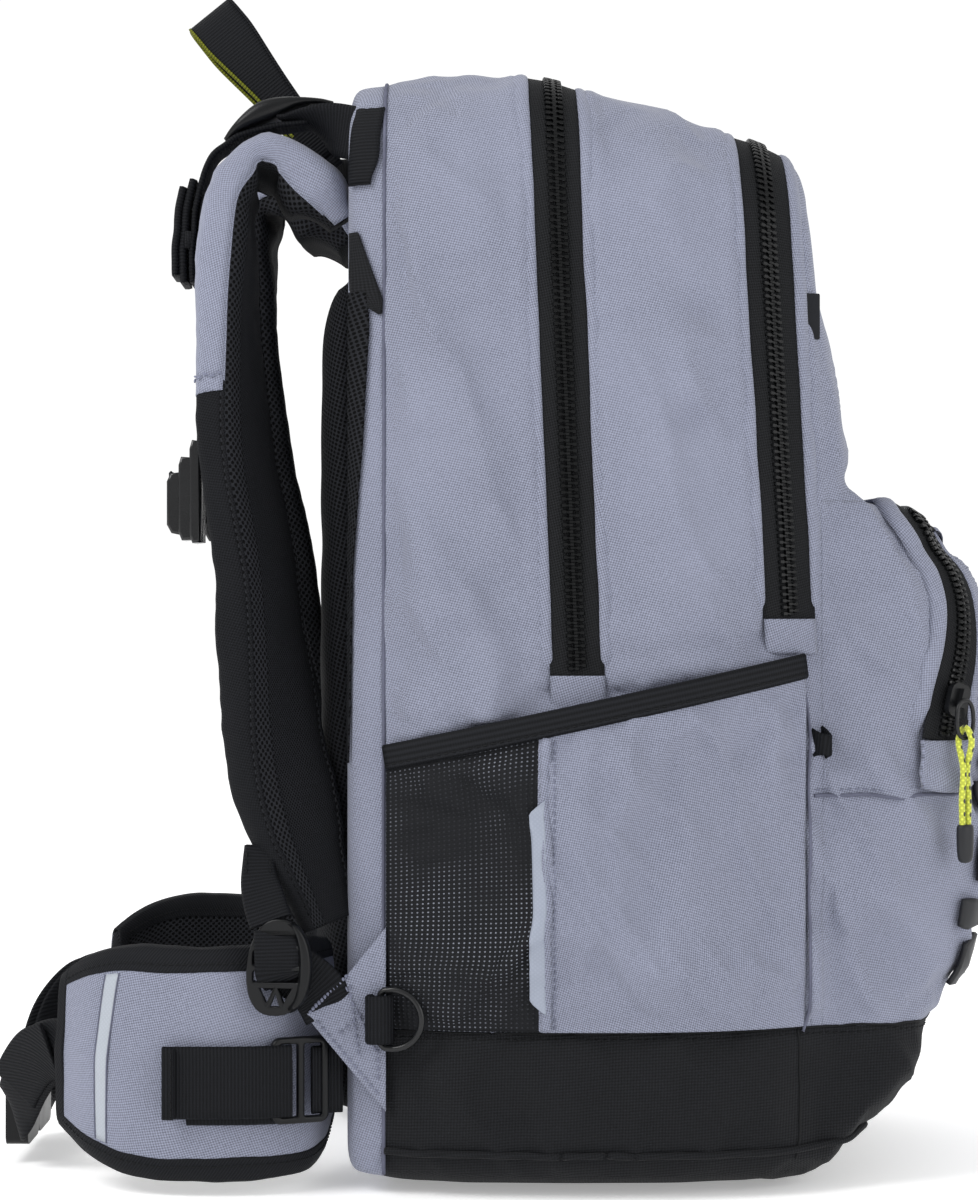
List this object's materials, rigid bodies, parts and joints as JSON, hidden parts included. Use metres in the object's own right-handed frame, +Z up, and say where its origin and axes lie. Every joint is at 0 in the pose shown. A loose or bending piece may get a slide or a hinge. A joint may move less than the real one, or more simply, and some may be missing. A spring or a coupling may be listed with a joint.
{
  "type": "ski backpack",
  "caption": "Ski backpack with zipped compartments, zipped front pocket, open side pockets, padded back, shoulder harness with sternum strap, and buckled hip belt.",
  "frame": {"origin": "centre of the flat base that the bag stands on", "axes": "+Z up; +X towards the wearer's right; +Y towards the wearer's back, where the harness is; -Y towards the front pocket"},
  "size_m": [0.3068, 0.4725, 0.5757],
  "materials": {
    "shell_fabric": "lavender-grey woven polyester twill with a soft sheen",
    "base_fabric": "heavy black woven polyester",
    "air_mesh": "black spacer mesh",
    "webbing": "black ribbed webbing and elastic",
    "zip": "black woven tape with satin moulded teeth",
    "moulded_plastic": "black moulded acetal, semi-gloss",
    "blackened_metal": "black lacquered die-cast metal",
    "pull_cord": "bright lime braided cord with a black moulded tip",
    "inner_sheet": "natural stiff sheet"
  },
  "bodies": {
    "bag": {"main_compartment": "shell_fabric", "second_compartment": "shell_fabric", "front_panel": "shell_fabric", "back_panel": "shell_fabric", "frame_sheet": "inner_sheet", "base_panel": "base_fabric", "front_pocket": "shell_fabric", "main_zip": "zip", "second_zip": "zip", "pocket_zip": "zip", "side_pocket_mesh_left": "air_mesh", "side_pocket_mesh_right": "air_mesh", "side_pocket_panel_left": "shell_fabric", "side_pocket_panel_right": "shell_fabric", "side_pocket_hem_left": "webbing", "side_pocket_hem_right": "webbing", "back_pad_left": "air_mesh", "back_pad_right": "air_mesh", "lumbar_pad": "air_mesh", "strap_anchor_left": "shell_fabric", "strap_anchor_right": "shell_fabric", "gear_ring_tab_left": "webbing", "gear_ring_tab_right": "webbing", "load_lifter_anchor_left": "webbing", "load_lifter_anchor_right": "webbing", "lower_webbing_left": "webbing", "lower_webbing_right": "webbing"},
    "handle": {"haul_handle": "webbing"},
    "harness": {"shoulder_strap_left": "shell_fabric", "shoulder_strap_right": "shell_fabric", "load_lifter_tail_left": "webbing", "load_lifter_tail_right": "webbing"},
    "sternum_strap": {"sternum_clip_left": "moulded_plastic", "sternum_clip_right": "moulded_plastic", "sternum_webbing_right": "webbing", "sternum_buckle_housing": "moulded_plastic"},
    "sternum_plug": {"sternum_webbing_left": "webbing", "sternum_buckle_plug": "moulded_plastic"},
    "lifter_lock_left": {"load_lifter_lock_left": "moulded_plastic"},
    "lifter_lock_right": {"load_lifter_lock_right": "moulded_plastic"},
    "strap_lock_left": {"lower_lock_left": "moulded_plastic"},
    "strap_lock_right": {"lower_lock_right": "moulded_plastic"},
    "ring_left": {"gear_ring_left": "moulded_plastic"},
    "ring_right": {"gear_ring_right": "moulded_plastic"},
    "hip_belt": {"hip_wing_left": "shell_fabric", "hip_wing_right": "shell_fabric", "hip_stabiliser_left": "webbing", "hip_stabiliser_right": "webbing", "hip_slider_left": "moulded_plastic", "hip_slider_right": "moulded_plastic", "hip_belt_webbing_right": "webbing", "hip_buckle_housing": "moulded_plastic"},
    "hip_plug": {"hip_belt_webbing_left": "webbing", "hip_buckle_plug": "moulded_plastic"},
    "main_slider": {"main_zip_slider": "blackened_metal"},
    "main_pull": {"main_zip_pull": "blackened_metal"},
    "second_slider": {"second_zip_slider": "blackened_metal"},
    "second_pull": {"second_zip_pull": "blackened_metal"},
    "pocket_slider": {"pocket_zip_slider": "blackened_metal"},
    "pocket_pull": {"pocket_zip_pull": "pull_cord"}
  },
  "joints": [
    {"name": "handle_fold", "type": "hinge", "parent": "bag", "child": "handle", "pos_m": [0, 0.117, 0.492], "axis": [1, 0, 0], "range_deg": [-65, 30], "stiffness_Nm_per_rad": 0.03},
    {"name": "harness_swing", "type": "hinge", "parent": "bag", "child": "harness", "pos_m": [0, 0.107, 0.455], "axis": [1, 0, 0], "range_deg": [0, 5]},
    {"name": "sternum_height", "type": "slide", "parent": "harness", "child": "sternum_strap", "axis": [0, 0.125, 0.9922], "range_m": [-0.025, 0.025]},
    {"name": "sternum_buckle_release", "type": "slide", "parent": "sternum_strap", "child": "sternum_plug", "axis": [-1, 0, 0], "range_m": [0, 0.018]},
    {"name": "lifter_lock_left_tilt", "type": "hinge", "parent": "bag", "child": "lifter_lock_left", "pos_m": [-0.07, 0.119, 0.5055], "axis": [1, 0, 0], "range_deg": [0, 25]},
    {"name": "lifter_lock_right_tilt", "type": "hinge", "parent": "bag", "child": "lifter_lock_right", "pos_m": [0.07, 0.119, 0.5055], "axis": [1, 0, 0], "range_deg": [0, 25]},
    {"name": "strap_lock_left_tilt", "type": "hinge", "parent": "harness", "child": "strap_lock_left", "pos_m": [-0.1385, 0.134, 0.117], "axis": [0, 1, 0], "range_deg": [0, 25]},
    {"name": "strap_lock_right_tilt", "type": "hinge", "parent": "harness", "child": "strap_lock_right", "pos_m": [0.1385, 0.134, 0.117], "axis": [0, -1, 0], "range_deg": [0, 25]},
    {"name": "ring_left_swing", "type": "hinge", "parent": "bag", "child": "ring_left", "pos_m": [-0.1367, 0.087, 0.0795], "axis": [0, 0, -1], "range_deg": [0, 140]},
    {"name": "ring_right_swing", "type": "hinge", "parent": "bag", "child": "ring_right", "pos_m": [0.1367, 0.087, 0.0795], "axis": [0, 0, 1], "range_deg": [0, 140]},
    {"name": "hip_belt_tilt", "type": "hinge", "parent": "bag", "child": "hip_belt", "pos_m": [0, 0.119, 0.108], "axis": [1, 0, 0], "range_deg": [0, 12]},
    {"name": "hip_buckle_release", "type": "slide", "parent": "hip_belt", "child": "hip_plug", "axis": [-1, 0, 0], "range_m": [0, 0.026]},
    {"name": "main_slider_travel", "type": "slide", "parent": "bag", "child": "main_slider", "axis": [-0.0434, 0.0399, 0.9983], "range_m": [0, 0.18]},
    {"name": "main_pull_swing", "type": "hinge", "parent": "main_slider", "child": "main_pull", "pos_m": [0.1484, -0.00295, 0.25551], "axis": [-0.0011, 0.9992, -0.04], "range_deg": [-100, 0]},
    {"name": "second_slider_travel", "type": "slide", "parent": "bag", "child": "second_slider", "axis": [-0.0143, 0.0549, 0.9984], "range_m": [0, 0.13]},
    {"name": "second_pull_swing", "type": "hinge", "parent": "second_slider", "child": "second_pull", "pos_m": [0.13142, -0.10607, 0.2814], "axis": [0.3879, 0.9206, -0.0451], "range_deg": [-100, 0]},
    {"name": "pocket_slider_travel", "type": "slide", "parent": "bag", "child": "pocket_slider", "axis": [0.155, -0.248, 0.9563], "range_m": [0, 0.02]},
    {"name": "pocket_pull_swing", "type": "hinge", "parent": "pocket_slider", "child": "pocket_pull", "pos_m": [-0.11681, -0.1851, 0.225], "axis": [0.53, -0.848, 0], "range_deg": [-100, 0]}
  ]
}
